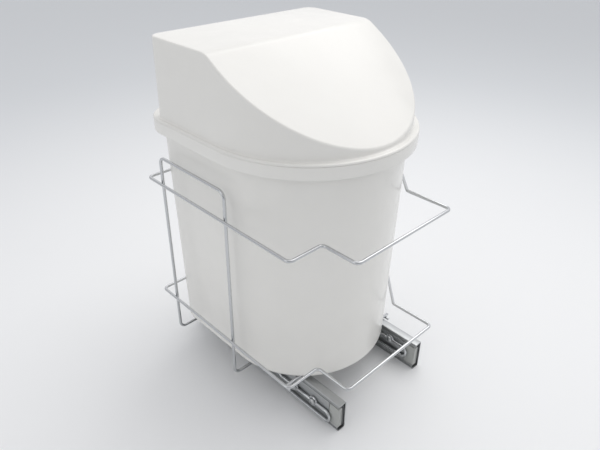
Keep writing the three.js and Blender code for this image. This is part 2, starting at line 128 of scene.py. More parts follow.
def end_finish(finish, tree, links):
    surface = add(tree, "ShaderNodeBsdfPrincipled", links)
    add(tree, "ShaderNodeOutputMaterial", {"Surface": surface.outputs["BSDF"]})
    finish.diffuse_color = surface.inputs["Base Color"].default_value
    print("finish:", finish.name, len(tree.nodes), "nodes")
    return finish


print("mid grey in linear light:", round(linear("#808080")[0], 3))

# %% [markdown]
# ## Chrome-plated wire
#
# Drawn steel wire is polished and plated with nickel and chrome. The eye sees a cool mirror
# that is nearly black where it faces something dark. The plating copies the faint lengthwise
# ripple of the drawing, so its reflections wobble a little and its gloss varies in patches.
# The ripple is 3 mm across and the patches 14 mm, both coarser than real so that they show.

# %% The chrome finish
chrome, tree = start_finish("chrome_plated_drawn_wire")
place = add(tree, "ShaderNodeTexCoord").outputs["Object"]
haze = add(tree, "ShaderNodeTexNoise", {"Vector": place, "Scale": per_mm(14), "Detail": 3.0})
gloss = add(tree, "ShaderNodeMapRange", {
    "Value": haze.outputs["Fac"], "From Min": 0.3, "From Max": 0.7, "To Min": 0.07, "To Max": 0.16,
})
ripple = add(tree, "ShaderNodeTexNoise", {"Vector": place, "Scale": per_mm(3), "Detail": 2.0})
bump = add(tree, "ShaderNodeBump", {
    "Height": ripple.outputs["Fac"], "Strength": 0.12, "Distance": 0.0002,
})
end_finish(chrome, tree, {
    "Base Color": linear("#C9CBCD"),
    "Metallic": 1.0,
    "Roughness": gloss.outputs["Result"],
    "Normal": bump.outputs["Normal"],
})

# %% [markdown]
# ## Zinc-plated strip
#
# The slides are roll-formed from cold-rolled strip and then zinc plated. Rolling leaves fine
# lines along the strip, and the zinc is a soft grey mirror with a light bloom. Stretching the
# noise along Y draws the lines: 0.5 mm across, which is coarser than real so that it shows,
# and 25 mm long. The bloom comes in patches of 18 mm.

# %% The zinc finish
zinc, tree = start_finish("zinc_plated_rolled_strip")
place = add(tree, "ShaderNodeTexCoord").outputs["Object"]
along = add(tree, "ShaderNodeMapping", {"Vector": place, "Scale": (1.0, 0.02, 1.0)})
lines = add(tree, "ShaderNodeTexNoise", {
    "Vector": along.outputs["Vector"], "Scale": per_mm(0.5), "Detail": 4.0, "Roughness": 0.6,
})
bloom = add(tree, "ShaderNodeTexNoise", {"Vector": place, "Scale": per_mm(18), "Detail": 5.0})
tone = add(tree, "ShaderNodeMix", {
    "Factor": bloom.outputs["Fac"], "A": linear("#A9ABAC"), "B": linear("#C3C5C6"),
}, data_type="RGBA")
gloss = add(tree, "ShaderNodeMapRange", {
    "Value": lines.outputs["Fac"], "From Min": 0.3, "From Max": 0.7, "To Min": 0.26, "To Max": 0.42,
})
bump = add(tree, "ShaderNodeBump", {
    "Height": lines.outputs["Fac"], "Strength": 0.18, "Distance": 0.0001,
})
end_finish(zinc, tree, {
    "Base Color": tone.outputs["Result"],
    "Metallic": 1.0,
    "Roughness": gloss.outputs["Result"],
    "Normal": bump.outputs["Normal"],
})

# %% [markdown]
# ## Screw steel and ball steel
#
# The screws are cold headed and zinc plated: a little brighter than the strip, with a fine
# pebbled skin of 0.6 mm grains from tumbling in the plating barrel. The balls are ground and
# polished and sit in a thin cage of bright strip, so one smooth steel serves both, with films
# of oil 5 mm wide that change its gloss.

# %% The two bright steels
screw_steel, tree = start_finish("zinc_plated_headed_screw")
place = add(tree, "ShaderNodeTexCoord").outputs["Object"]
pebble = add(tree, "ShaderNodeTexNoise", {"Vector": place, "Scale": per_mm(0.6), "Detail": 2.0})
gloss = add(tree, "ShaderNodeMapRange", {
    "Value": pebble.outputs["Fac"], "From Min": 0.3, "From Max": 0.7, "To Min": 0.2, "To Max": 0.36,
})
bump = add(tree, "ShaderNodeBump", {
    "Height": pebble.outputs["Fac"], "Strength": 0.2, "Distance": 0.0001,
})
end_finish(screw_steel, tree, {
    "Base Color": linear("#BDBFC0"),
    "Metallic": 1.0,
    "Roughness": gloss.outputs["Result"],
    "Normal": bump.outputs["Normal"],
})

ball_steel, tree = start_finish("polished_bearing_steel")
place = add(tree, "ShaderNodeTexCoord").outputs["Object"]
oil = add(tree, "ShaderNodeTexNoise", {"Vector": place, "Scale": per_mm(5), "Detail": 3.0})
gloss = add(tree, "ShaderNodeMapRange", {
    "Value": oil.outputs["Fac"], "From Min": 0.3, "From Max": 0.7, "To Min": 0.1, "To Max": 0.26,
})
end_finish(ball_steel, tree, {
    "Base Color": linear("#B4B6B8"),
    "Metallic": 1.0,
    "Roughness": gloss.outputs["Result"],
})

# %% [markdown]
# ## Two plastics
#
# The stop blocks at the front of the slides are injection-moulded acetal in a pale grey, with
# the matt skin of a spark-eroded mould, with a grain of 0.5 mm. The bin and lid are polypropylene
# from a polished mould: white with a trace of warmth, glossy, and never quite flat, because
# thick and thin places shrink unevenly. Two slow waves of 90 mm and 25 mm bend its
# reflections, and patches of 40 mm in its gloss stand for handling marks.

# %% The plastic finishes
cap_plastic, tree = start_finish("moulded_grey_acetal")
place = add(tree, "ShaderNodeTexCoord").outputs["Object"]
grain = add(tree, "ShaderNodeTexNoise", {"Vector": place, "Scale": per_mm(0.5), "Detail": 2.0})
tone = add(tree, "ShaderNodeMix", {
    "Factor": grain.outputs["Fac"], "A": linear("#A7A9A7"), "B": linear("#B5B7B4"),
}, data_type="RGBA")
bump = add(tree, "ShaderNodeBump", {
    "Height": grain.outputs["Fac"], "Strength": 0.25, "Distance": 0.0001,
})
end_finish(cap_plastic, tree, {
    "Base Color": tone.outputs["Result"],
    "Roughness": 0.46,
    "IOR": 1.48,
    "Normal": bump.outputs["Normal"],
})

white, tree = start_finish("glossy_white_polypropylene")
place = add(tree, "ShaderNodeTexCoord").outputs["Object"]
sink = add(tree, "ShaderNodeTexNoise", {"Vector": place, "Scale": per_mm(90), "Detail": 0.0})
wave = add(tree, "ShaderNodeTexNoise", {"Vector": place, "Scale": per_mm(25), "Detail": 1.0})
slow = add(tree, "ShaderNodeBump", {
    "Height": sink.outputs["Fac"], "Strength": 0.5, "Distance": 0.004,
})
quick = add(tree, "ShaderNodeBump", {
    "Height": wave.outputs["Fac"], "Strength": 0.3, "Distance": 0.0006,
    "Normal": slow.outputs["Normal"],
})
smear = add(tree, "ShaderNodeTexNoise", {"Vector": place, "Scale": per_mm(40), "Detail": 6.0})
gloss = add(tree, "ShaderNodeMapRange", {
    "Value": smear.outputs["Fac"], "From Min": 0.3, "From Max": 0.7, "To Min": 0.16, "To Max": 0.27,
})
tone = add(tree, "ShaderNodeMix", {
    "Factor": smear.outputs["Fac"], "A": linear("#EAE9E5"), "B": linear("#EFEEEA"),
}, data_type="RGBA")
end_finish(white, tree, {
    "Base Color": tone.outputs["Result"],
    "Roughness": gloss.outputs["Result"],
    "IOR": 1.49,
    "Normal": quick.outputs["Normal"],
})

# %% [markdown]
# ## Two moves that make almost everything
#
# A wire bender knows two moves: feed the wire straight on, and turn it round a pin. In a
# bmesh the first is an extrusion of the leading edges and the second is a spin of them. The
# same two moves carry a wall section round the outline of the bin.

# %% Run straight, turn round a pin
def edges_in(geometry):
    return [part for part in geometry if isinstance(part, bmesh.types.BMEdge)]


def run(shape, edges, way):
    grown = bmesh.ops.extrude_edge_only(shape, edges=edges)["geom"]
    fresh = {part for part in grown if isinstance(part, bmesh.types.BMVert)}
    bmesh.ops.translate(shape, vec=way, verts=list(fresh))
    return [edge for edge in edges_in(grown) if fresh.issuperset(edge.verts)]


def turn(shape, edges, pin, axis, angle, steps):
    spun = bmesh.ops.spin(
        shape, geom=edges, cent=pin, axis=axis, angle=angle, steps=steps,
        use_merge=False, use_normal_flip=False, use_duplicate=False,
    )
    return edges_in(spun["geom_last"])


print("the bender knows two moves: run and turn")

# %% [markdown]
# A bent wire is then a list of the corners on its drawing. At each corner the tool works out
# where the straight part stops, which is the bend's radius times the tangent of half the
# angle before the corner. Loose ends are sheared off and lightly deburred, which a small
# bevel shows. Bevels finish many pieces here, so one helper holds their common settings.

# %% Bend a wire through corners
wire, wire_sides = 4, 20
bend_steps = 10
deburr, deburr_steps = 0.4, 2


def round_off(shape, parts, size, steps, affect="EDGES", **more):
    bmesh.ops.bevel(
        shape, geom=parts, offset=size, segments=steps, affect=affect,
        profile=0.5, material=-1, **more,
    )


def bend_wire(shape, corners, bend, closed=False):
    points = [Vector(corner) for corner in corners]
    if closed:
        middle = (points[-1] + points[0]) / 2
        points = [middle, *points, middle]
    heading = (points[1] - points[0]).normalized()
    stand = Matrix.Translation(points[0]) @ heading.to_track_quat("Z", "Y").to_matrix().to_4x4()
    ring = bmesh.ops.create_circle(
        shape, cap_ends=False, radius=wire / 2, segments=wire_sides, matrix=stand,
    )["verts"]
    first = list({edge for vert in ring for edge in vert.link_edges})
    edges = first
    here = points[0]
    for corner, after in zip(points[1:-1], points[2:]):
        onward = (after - corner).normalized()
        angle = heading.angle(onward)
        reach = bend * math.tan(angle / 2)
        stop = corner - heading * reach
        axis = heading.cross(onward).normalized()
        pin = stop + axis.cross(heading) * bend
        edges = run(shape, edges, stop - here)
        edges = turn(shape, edges, pin, axis, angle, bend_steps)
        here = corner + onward * reach
        heading = onward
    last = run(shape, edges, points[-1] - here)
    if closed:
        bmesh.ops.remove_doubles(shape, verts=shape.verts, dist=0.01)
    else:
        deburr_ends(shape, first, last)
    bmesh.ops.recalc_face_normals(shape, faces=shape.faces)


def deburr_ends(shape, *rings):
    rims = []
    for ring in rings:
        bmesh.ops.edgeloop_fill(shape, edges=ring)
        rims += ring
    round_off(shape, rims, deburr, deburr_steps)


print("wire of", wire, "mm with", wire_sides, "sides")

# %% [markdown]
# ## The two loops round the bin
#
# Each loop is one wire, butt welded at the back. Seen from above it is a rectangle with a
# notch at the front left and the front right corner cut off at 45 degrees, so that the bin
# can be lifted past the door hinge. Both loops share one drawing at two heights.

# %% Bend the loops
low_loop_z, high_loop_z = 98, 275
front_wire_y, back_wire_y, side_wire_x = -159, 151, 135.3
notch_x, notch_depth = -87.5, 49
splay_width, straight_right = 58.8, 62.5
loop_bend = 6

for name, z in (("top_loop", high_loop_z), ("bottom_loop", low_loop_z)):
    splay_y = front_wire_y + straight_right
    shape = bmesh.new()
    bend_wire(shape, [
        (-side_wire_x, back_wire_y, z),
        (-side_wire_x, front_wire_y + notch_depth, z),
        (notch_x, front_wire_y + notch_depth, z),
        (notch_x, front_wire_y, z),
        (side_wire_x - splay_width, front_wire_y, z),
        (side_wire_x - splay_width, splay_y, z),
        (side_wire_x, splay_y + splay_width, z),
        (side_wire_x, back_wire_y, z),
    ], bend=loop_bend, closed=True)
    fit(piece_from(name + "_wire", shape), "carrier", "chrome_wire", chrome, name)

# %% [markdown]
# ## Side frames, rails and cross wires
#
# A side frame is an upside-down U. Its feet bend in under the bin and are welded to a rail,
# and the rails carry three cross wires on which the bin stands. Feet, rails and cross wires
# lie on top of each other and are welded where they cross, so their heights step up by little
# more than one wire.

# %% Bend the side frames and lay the rails
cross_z, rail_z, foot_z = 47.6, 43.3, 39
leg_x, leg_top_z = 131, 310
front_leg_y, back_leg_y = -1.5, 124.5
frame_bend = 9
rail_x, rail_front_y, rail_back_y = 100, -76, 130
foot_x, cross_x = rail_x - 3, rail_x + 4
cross_wires = {"front": -70, "middle": -30, "rear": 100}

for side, sign in (("left", -1), ("right", 1)):
    shape = bmesh.new()
    bend_wire(shape, [
        (sign * foot_x, front_leg_y, foot_z),
        (sign * leg_x, front_leg_y, foot_z),
        (sign * leg_x, front_leg_y, leg_top_z),
        (sign * leg_x, back_leg_y, leg_top_z),
        (sign * leg_x, back_leg_y, foot_z),
        (sign * foot_x, back_leg_y, foot_z),
    ], bend=frame_bend)
    fit(
        piece_from(f"side_frame_{side}_wire", shape),
        "carrier", "chrome_wire", chrome, f"side_frame_{side}",
    )
    shape = bmesh.new()
    bend_wire(shape, [
        (sign * rail_x, rail_back_y, rail_z), (sign * rail_x, rail_front_y, rail_z),
    ], bend=0)
    fit(piece_from(f"rail_{side}", shape), "carrier", "chrome_wire", chrome, f"rail_wire_{side}")

for place, y in cross_wires.items():
    shape = bmesh.new()
    bend_wire(shape, [(-cross_x, y, cross_z), (cross_x, y, cross_z)], bend=0)
    cross = piece_from(f"cross_{place}", shape)
    fit(cross, "carrier", "chrome_wire", chrome, f"cross_wire_{place}")

# %% [markdown]
# ## Where the slides lie
#
# The hairpins and screws below take their places from the slides, so the slides' own sizes
# come first. A full-extension slide is 45 mm high and 12.7 mm deep. Each one has its back to
# the right of its hairpin, and the hairpin sits higher on the right slide than on the left.

# %% Where the slides lie
slide_z = 22.5
backs = {"left": -64, "right": 94}
slide_depth, gap = 12.7, 0.3
drawer_front_y, drawer_back_y = -122, 158
eye_places = {"front": -96, "middle": -61, "rear": 100}
hairpin_z = {"left": slide_z + 0.5, "right": slide_z + 9}
print("slides", 2 * slide_z, "mm high, backs at", backs, "hairpins at", hairpin_z)

# %% [markdown]
# ## Hairpins and their eyes
#
# A hairpin lies against each slide. It comes down from a cross wire, runs forward along the
# moving member, turns back below itself and rises again at the rear. Where a screw holds it
# the wire is pressed flat and pierced: a round eye, 3 mm thick, with the wire running into
# it on both sides. The eye is a small section spun once round the screw's axis. Every stretch
# and every eye is its own closed shape, and all are poured into the hairpin's one.

# %% Bend the hairpins and press the eyes
hairpin_bend, hairpin_pitch, hairpin_reach = 7.5, 16, 5.5
eye_reach = 5


def pour(shape, other):
    carried = bpy.data.meshes.new("carried")
    other.to_mesh(carried)
    other.free()
    shape.from_mesh(carried)
    bpy.data.meshes.remove(carried)


def spin_x(shape, outline, y, z, closed=True, steps=40):
    corners = [shape.verts.new((x, y, z + radius)) for x, radius in outline]
    after = corners[1:] + corners[:1] if closed else corners[1:]
    edges = [shape.edges.new(pair) for pair in zip(corners, after)]
    bmesh.ops.spin(
        shape, geom=edges, cent=(0, y, z), axis=(1, 0, 0), angle=math.tau, steps=steps,
        use_merge=True, use_normal_flip=False, use_duplicate=False,
    )


for side, back_x in backs.items():
    face = back_x - slide_depth - gap
    wire_x = face - wire / 2
    high = hairpin_z[side]
    low = high - hairpin_pitch
    bend_y = drawer_front_y - hairpin_reach + wire / 2
    rise = cross_z - wire / 2 - gap
    shape = bmesh.new()
    front_eye, middle_eye, rear_eye = sorted(eye_places.values())
    bend_wire(shape, [
        (wire_x, front_eye - eye_reach, high),
        (wire_x, bend_y, high),
        (wire_x, bend_y, low),
        (wire_x, rear_eye, low),
        (wire_x, rear_eye, rise),
    ], bend=hairpin_bend)
    stretches = [
        [(wire_x, front_eye + eye_reach, high), (wire_x, middle_eye - eye_reach, high)],
        [(wire_x, middle_eye + eye_reach, high), (wire_x, cross_wires["middle"], high),
         (wire_x, cross_wires["middle"], rise)],
    ]
    for stretch in stretches:
        length = bmesh.new()
        bend_wire(length, stretch, bend=hairpin_bend)
        pour(shape, length)
    for y in eye_places.values():
        eye = bmesh.new()
        spin_x(eye, [
            (face, 2.6), (face, 6.4), (face - 0.6, 7), (face - 2.2, 7),
            (face - 3, 6.2), (face - 3, 2.7), (face - 2.6, 2.3), (face - 0.3, 2.3),
        ], y, high)
        bmesh.ops.recalc_face_normals(eye, faces=eye.faces)
        pour(shape, eye)
    hairpin = piece_from(f"hairpin_{side}_wire", shape)
    fit(hairpin, "carrier", "chrome_wire", chrome, f"hairpin_{side}")

# %% [markdown]
# ## Cutting tools
#
# Some shapes are cut after forming, as a drill or a punch would. A Boolean modifier does that
# and is baked at once, and the cutter is thrown away. Each cutter is one closed body: the
# exact solver gives an empty mesh for a cutter whose own parts overlap.

# %% Cut one shape out of another
def cut_out(piece, *cutters):
    for cutter in cutters:
        modifier = piece.modifiers.new("cut", "BOOLEAN")
        modifier.operation = "DIFFERENCE"
        modifier.solver = "EXACT"
        modifier.object = cutter
    graph = bpy.context.evaluated_depsgraph_get()
    result = bpy.data.meshes.new_from_object(piece.evaluated_get(graph))
    piece.modifiers.clear()
    piece.data = result
    for cutter in cutters:
        bpy.data.objects.remove(cutter)
    soften(piece.data)
    print(piece.name, "cut", len(cutters), "times,", len(piece.data.polygons), "faces left")

# %% [markdown]
# ## Pan-head screws
#
# The head is headed from wire in a die, so it is a low dome with a rounded rim. Spinning its
# half section gives that in one move. The section starts and ends a hair's breadth off the
# axis, and the points there are merged into one. The cross recess is cut afterwards by two
# tapered blades, the way the punch drives it in.

# %% Head the screws
eye_thick, head_high = 3, 3.0
blade_long, blade_wide, blade_deep, blade_taper = 5.2, 1.3, 4, 0.5
blade_back, at_axis = 0.4, 0.001


def blade(face_x, y, z, across, up):
    cutter = bmesh.new()
    verts = bmesh.ops.create_cube(cutter, size=1)["verts"]
    bmesh.ops.scale(cutter, vec=(blade_deep, across, up), verts=verts)
    deep = [vert for vert in verts if vert.co.x > 0]
    bmesh.ops.scale(cutter, vec=(1, blade_taper, blade_taper), verts=deep)
    bmesh.ops.translate(cutter, vec=(face_x - blade_back, y, z), verts=verts)
    return piece_from("blade", cutter)


for side, back_x in backs.items():
    under = back_x - slide_depth - 2 * gap - eye_thick
    top = under - head_high
    z = hairpin_z[side]
    for place, y in eye_places.items():
        shape = bmesh.new()
        spin_x(shape, [
            (under + 8.2, at_axis), (under + 8.2, 1.2), (under + 7.6, 1.9), (under, 1.9),
            (under, 4.6), (under - 0.3, 4.95), (under - 1.0, 4.95), (under - 1.9, 4.5),
            (under - 2.6, 3.4), (top, 1.9), (top, at_axis),
        ], y, z, closed=False)
        bmesh.ops.remove_doubles(shape, verts=shape.verts, dist=0.005)
        bmesh.ops.recalc_face_normals(shape, faces=shape.faces)
        screw = piece_from(f"screw_{side}_{place}_head", shape)
        upright = blade(top, y, z, blade_wide, blade_long)
        lying = blade(top, y, z, blade_long, blade_wide)
        cut_out(screw, upright, lying)
        fit(screw, "carrier", "screw_steel", screw_steel, f"screw_{side}_{place}")

# %% [markdown]
# ## Folding and drilling
#
# Each member of a slide is a strip that rollers fold into a channel. Its section is drawn as
# half an outline, mirrored, and its folds are rounded by bevelling the corner points. The
# section is then pulled out to the length of the member, and round holes are drilled in it.

# %% Fold and pull a channel
fold_steps = 4
drill_long, drill_sides = 6, 32


def pull_channel(shape, upper, back_x, y_back, y_front):
    lower = [(x, -z, radius) for x, z, radius in reversed(upper)]
    outline = [*upper, *lower]
    corners = [shape.verts.new((back_x + x, y_back, slide_z + z)) for x, z, _ in outline]
    shape.faces.new(corners)
    for vert, (_, _, radius) in zip(corners, outline):
        round_off(shape, [vert], radius, fold_steps, affect="VERTICES")
    pulled = bmesh.ops.extrude_face_region(shape, geom=list(shape.faces))["geom"]
    fresh = [part for part in pulled if isinstance(part, bmesh.types.BMVert)]
    bmesh.ops.translate(shape, vec=(0, y_front - y_back, 0), verts=fresh)
    bmesh.ops.recalc_face_normals(shape, faces=shape.faces)


def drill_along_x(x, y, z, radius):
    drill = bmesh.new()
    stand = Matrix.Translation((x, y, z)) @ Matrix.Rotation(math.pi / 2, 4, "Y")
    bmesh.ops.create_cone(
        drill, cap_ends=True, segments=drill_sides, radius1=radius, radius2=radius,
        depth=drill_long, matrix=stand,
    )
    return piece_from("drill", drill)


print("folds in", fold_steps, "steps, holes with", drill_sides, "sides")

# %% [markdown]
# ## Slide members
#
# The cabinet member's lips turn in, the intermediate member's lips turn out, and the drawer
# member steps down to its ball race. Only the outer two are screwed to something, so only
# they are drilled: the cabinet member where it meets the cabinet's side, and the drawer member
# behind the hairpin's eyes.

# %% Make the three members of each slide
sheet, hole_radius = 1.2, 2.3
cabinet_back_y, cabinet_front_y = 161, -139
middle_back_y, middle_front_y = 155, -137
cabinet_hole_places = (-104, 126)
cabinet_section = [
    (-1.2, 21.3, 0.5), (-11.4, 21.3, 0.3), (-11.4, 20.2, 0.2),
    (-12.6, 20.2, 0.4), (-12.6, 22.5, 1.4), (0, 22.5, 1.6),
]
middle_section = [
    (-3.2, 16.7, 0.5), (-12.2, 16.7, 1.2), (-12.2, 19.3, 0.3),
    (-11.2, 19.3, 0.2), (-11.2, 17.7, 0.4), (-2.2, 17.7, 1.4),
]
drawer_section = [
    (-11.5, 15.0, 0.2), (-10.3, 15.0, 0.1), (-9.9, 12.2, 0.1), (-6.3, 12.2, 0.4),
    (-6.3, 13.4, 0.4), (-9.9, 13.4, 0.2), (-10.5, 16.2, 0.4), (-12.7, 16.2, 0.9),
]

for side, back_x in backs.items():
    shape = bmesh.new()
    pull_channel(shape, cabinet_section, back_x, cabinet_back_y, cabinet_front_y)
    member = piece_from(f"cabinet_channel_{side}", shape)
    web_x = back_x - sheet / 2
    cut_out(member, *[
        drill_along_x(web_x, y, slide_z, hole_radius) for y in cabinet_hole_places
    ])
    fit(member, "cabinet_members", "zinc_plate", zinc, f"cabinet_member_{side}")

    shape = bmesh.new()
    pull_channel(shape, middle_section, back_x, middle_back_y, middle_front_y)
    member = piece_from(f"intermediate_channel_{side}", shape)
    fit(member, "intermediate_members", "zinc_plate", zinc, f"intermediate_member_{side}")

    shape = bmesh.new()
    pull_channel(shape, drawer_section, back_x, drawer_back_y, drawer_front_y)
    member = piece_from(f"drawer_channel_{side}", shape)
    web_x = back_x - slide_depth + sheet / 2
    cut_out(member, *[
        drill_along_x(web_x, y, hairpin_z[side], hole_radius) for y in eye_places.values()
    ])
    fit(member, "carrier", "zinc_plate", zinc, f"drawer_member_{side}")

# %% [markdown]
# ## Ball cages
#
# Two thin folded strips in each slide hold the balls apart, one row of five along each
# flange. The strip is pulled like the channels. Every ball is a sphere that sits half way
# through it.

# %% Fold the cages and set the balls
cage_y, ball_spacing, cage_wall = 11, 30, 0.4


def ball_cage(name, back_x, web, edge, ball_x, ball_z, diameter):
    shape = bmesh.new()
    reach = 2 * ball_spacing + 2 * diameter
    inner, outer = ball_z - cage_wall / 2, ball_z + cage_wall / 2
    pull_channel(shape, [
        (-web - cage_wall, inner, 0.1), (-edge, inner, 0.05),
        (-edge, outer, 0.05), (-web, outer, cage_wall),
    ], back_x, cage_y + reach, cage_y - reach)
    for sign in (-1, 1):
        for step in (-2, -1, 0, 1, 2):
            y = cage_y + step * ball_spacing
            spot = Matrix.Translation((back_x - ball_x, y, slide_z + sign * ball_z))
            bmesh.ops.create_uvsphere(
                shape, u_segments=20, v_segments=12, radius=diameter / 2, matrix=spot,
            )
    return piece_from(name, shape)


for side, back_x in backs.items():
    cage = ball_cage(
        f"outer_cage_{side}", back_x, web=1.5, edge=9.5, ball_x=6.35, ball_z=19.5, diameter=3,
    )
    fit(cage, "outer_ball_cages", "ball_steel", ball_steel, f"outer_ball_cage_{side}")
    cage = ball_cage(
        f"inner_cage_{side}", back_x, web=3.5, edge=9.4, ball_x=8.1, ball_z=15.05, diameter=2.7,
    )
    fit(cage, "inner_ball_cages", "ball_steel", ball_steel, f"inner_ball_cage_{side}")

# %% [markdown]
# ## End caps
#
# A moulded block closes the front of each drawer member. It plugs in with a tongue, has
# rounded edges and a shallow panel sunk in its front, as thick mouldings do to keep from
# shrinking. It is a box whose front face is inset and pushed in.

# %% Mould the end caps
cap_inset, cap_wide, cap_front_y, cap_back_y, cap_half_high = 0.2, 6.5, -138.5, -122.3, 15.6
cap_round, cap_round_steps = 0.7, 3
panel_border, panel_slope, panel_depth = 1.4, 0.4, 0.7
tongue_left, tongue_right, tongue_half_high = 11.2, 7.0, 11.6
tongue_front_y, tongue_back_y = -122.6, -112
tongue_round, tongue_round_steps = 0.3, 2


def sink_front(shape):
    face = min(shape.faces, key=lambda f: f.calc_center_median().y)
    bmesh.ops.inset_region(shape, faces=[face], thickness=panel_border, use_even_offset=True)
    bmesh.ops.inset_region(
        shape, faces=[face], thickness=panel_slope, depth=-panel_depth, use_even_offset=True,
    )


def block(shape, low, high):
    size = Vector(high) - Vector(low)
    middle = (Vector(high) + Vector(low)) / 2
    stand = Matrix.Translation(middle) @ Matrix.Diagonal((*size, 1))
    bmesh.ops.create_cube(shape, size=1, matrix=stand)


for side, back_x in backs.items():
    face = back_x - slide_depth + cap_inset
    shape = bmesh.new()
    block(
        shape, (face, cap_front_y, slide_z - cap_half_high),
        (face + cap_wide, cap_back_y, slide_z + cap_half_high),
    )
    sink_front(shape)
    corners = [edge for edge in shape.edges if edge.is_convex and edge.calc_length() > 4]
    round_off(shape, corners, cap_round, cap_round_steps)
    tongue = bmesh.new()
    block(
        tongue, (back_x - tongue_left, tongue_front_y, slide_z - tongue_half_high),
        (back_x - tongue_right, tongue_back_y, slide_z + tongue_half_high),
    )
    round_off(tongue, list(tongue.edges), tongue_round, tongue_round_steps)
    pour(shape, tongue)
    cap = piece_from(f"front_stop_{side}", shape)
    fit(cap, "carrier", "cap_plastic", cap_plastic, f"end_cap_{side}")

# %% [markdown]
# ## A wall carried round a D
#
# The bin and the lid share one plan: straight sides, two rounded back corners and a half-round
# front. Their walls are drawn as a section, a row of points whose corners are rounded by
# bevelling them. The two moves of the wire bender then carry the section round the D.

# %% Draw a section and carry it round a D
section_steps, corner_steps, front_steps = 5, 12, 72


def draw_section(shape, half, centre_y, points):
    corners = [shape.verts.new((half + out, centre_y, z)) for out, z, _ in points]
    for pair in zip(corners, corners[1:]):
        shape.edges.new(pair)
    for vert, (_, _, radius) in zip(corners, points):
        if radius:
            round_off(shape, [vert], radius, section_steps, affect="VERTICES")
    return list(shape.edges)


def carry_round(shape, edges, half, back_y, centre_y, corner):
    quarter, upwards = math.pi / 2, (0, 0, 1)
    reach = back_y - corner - centre_y
    pin_x, pin_y = half - corner, back_y - corner
    edges = run(shape, edges, (0, reach, 0))
    edges = turn(shape, edges, (pin_x, pin_y, 0), upwards, quarter, corner_steps)
    edges = run(shape, edges, (-2 * pin_x, 0, 0))
    edges = turn(shape, edges, (-pin_x, pin_y, 0), upwards, quarter, corner_steps)
    edges = run(shape, edges, (0, -reach, 0))
    turn(shape, edges, (0, centre_y, 0), upwards, math.pi, front_steps)
    bmesh.ops.remove_doubles(shape, verts=shape.verts, dist=0.005)


def rim_at(shape, z):
    open_edges = [edge for edge in shape.edges if edge.is_boundary]
    return [e for e in open_edges if all(abs(v.co.z - z) < 0.01 for v in e.verts)]


print("round a D in", 2 * corner_steps + front_steps, "turning steps")

# %% [markdown]
# ## The bin
#
# The bin is moulded in one shot: a tapered wall 2 mm thick, a rounded foot, a flat floor and a
# rolled rim that hangs down like a skirt and stiffens the mouth. All of it is one section. The
# section stops a little inside the foot, and the two loops left open there are filled.

# %% Mould the bin
bin_half, bin_back_y, bin_centre_y, bin_corner = 121, 144.5, 5.2, 30
floor_z, top_z, taper, wall = 49.9, 358, 6.2, 2
rim_out, skirt_drop, floor_in = 11.6, 15, 14

shape = bmesh.new()
section = draw_section(shape, bin_half, bin_centre_y, [
    (-taper - floor_in, floor_z, 0), (-taper, floor_z, 8), (0, top_z - 4, 0.8),
    (rim_out - wall, top_z - 4, 2.2), (rim_out - wall, top_z - skirt_drop, 0.6),
    (rim_out, top_z - skirt_drop, 0.6), (rim_out, top_z, 1.2), (-wall, top_z, 0.8),
    (-taper - wall, floor_z + wall, 6), (-taper - floor_in, floor_z + wall, 0),
])
carry_round(shape, section, bin_half, bin_back_y, bin_centre_y, bin_corner)
for z in (floor_z, floor_z + wall):
    bmesh.ops.edgeloop_fill(shape, edges=rim_at(shape, z))
bmesh.ops.recalc_face_normals(shape, faces=shape.faces)
fit(piece_from("bin_shell", shape), "bin", "gloss_white", white, "waste_bin")

# %% [markdown]
# ## The lid's hood
#
# The lid is a deep hood. Its wall follows a second D inside the rim, its top is level at the
# back and slopes down to the front, and a flange with a spigot below seats it on the bin.
# The hood starts as a tall tube, and two flat cuts give it its roof: one level, one sloping.
# The openings that the cuts leave are filled with two flat faces that meet along a ridge.

# %% Cut a hood from a tall tube
lid_half, lid_back_y, lid_centre_y, lid_corner = 126, 128, 8, 13
lid_top_z, lid_front_z, fold_y = 454, 366.3, 24
lid_front_y = lid_centre_y - lid_half
ridge_steps, roof_steps = 6, 5


def hood(points, wall, fold_round, edge_round):
    shape = bmesh.new()
    section = draw_section(shape, lid_half, lid_centre_y, points)
    carry_round(shape, section, lid_half, lid_back_y, lid_centre_y, lid_corner)
    fold = Vector((0, fold_y, lid_top_z))
    slope = Vector((0, lid_front_y, lid_front_z)) - fold
    up = Vector((1, 0, 0)).cross(-slope).normalized()
    cuts = [(fold - up * wall, up), (fold - Vector((0, 0, wall)), Vector((0, 0, 1)))]
    for spot, facing in cuts:
        bmesh.ops.bisect_plane(
            shape, geom=[*shape.verts, *shape.edges, *shape.faces], dist=0.001,
            plane_co=spot, plane_no=facing, clear_outer=True,
        )
    low = min(vert.co.z for vert in shape.verts)
    rim = [e for e in shape.edges if e.is_boundary and max(v.co.z for v in e.verts) > low + 0.1]
    ends = fold_ends(rim, up)
    ridge = shape.edges.new(ends)
    flat = [e for e in rim if is_level(e)]
    sloping = [e for e in rim if not is_level(e)]
    for loop in (flat, sloping):
        bmesh.ops.contextual_create(shape, geom=[*loop, ridge])
    if fold_round:
        round_off(shape, [ridge], fold_round, ridge_steps)
    if edge_round:
        edges = [e for e in shape.edges if borders_roof(e)]
        round_off(shape, edges, edge_round, roof_steps, clamp_overlap=True)
    return shape


def is_level(edge):
    return abs(edge.verts[0].co.z - edge.verts[1].co.z) < 0.001


def fold_ends(rim, up):
    level = {vert for edge in rim if is_level(edge) for vert in edge.verts}
    other = {vert for edge in rim if not is_level(edge) for vert in edge.verts}
    ends = sorted(level & other, key=lambda vert: vert.co.x)
    return ends[0], ends[-1]


def borders_roof(edge):
    steep = [abs(face.normal.z) for face in edge.link_faces]
    return len(steep) == 2 and min(steep) < 0.3 and max(steep) > 0.5


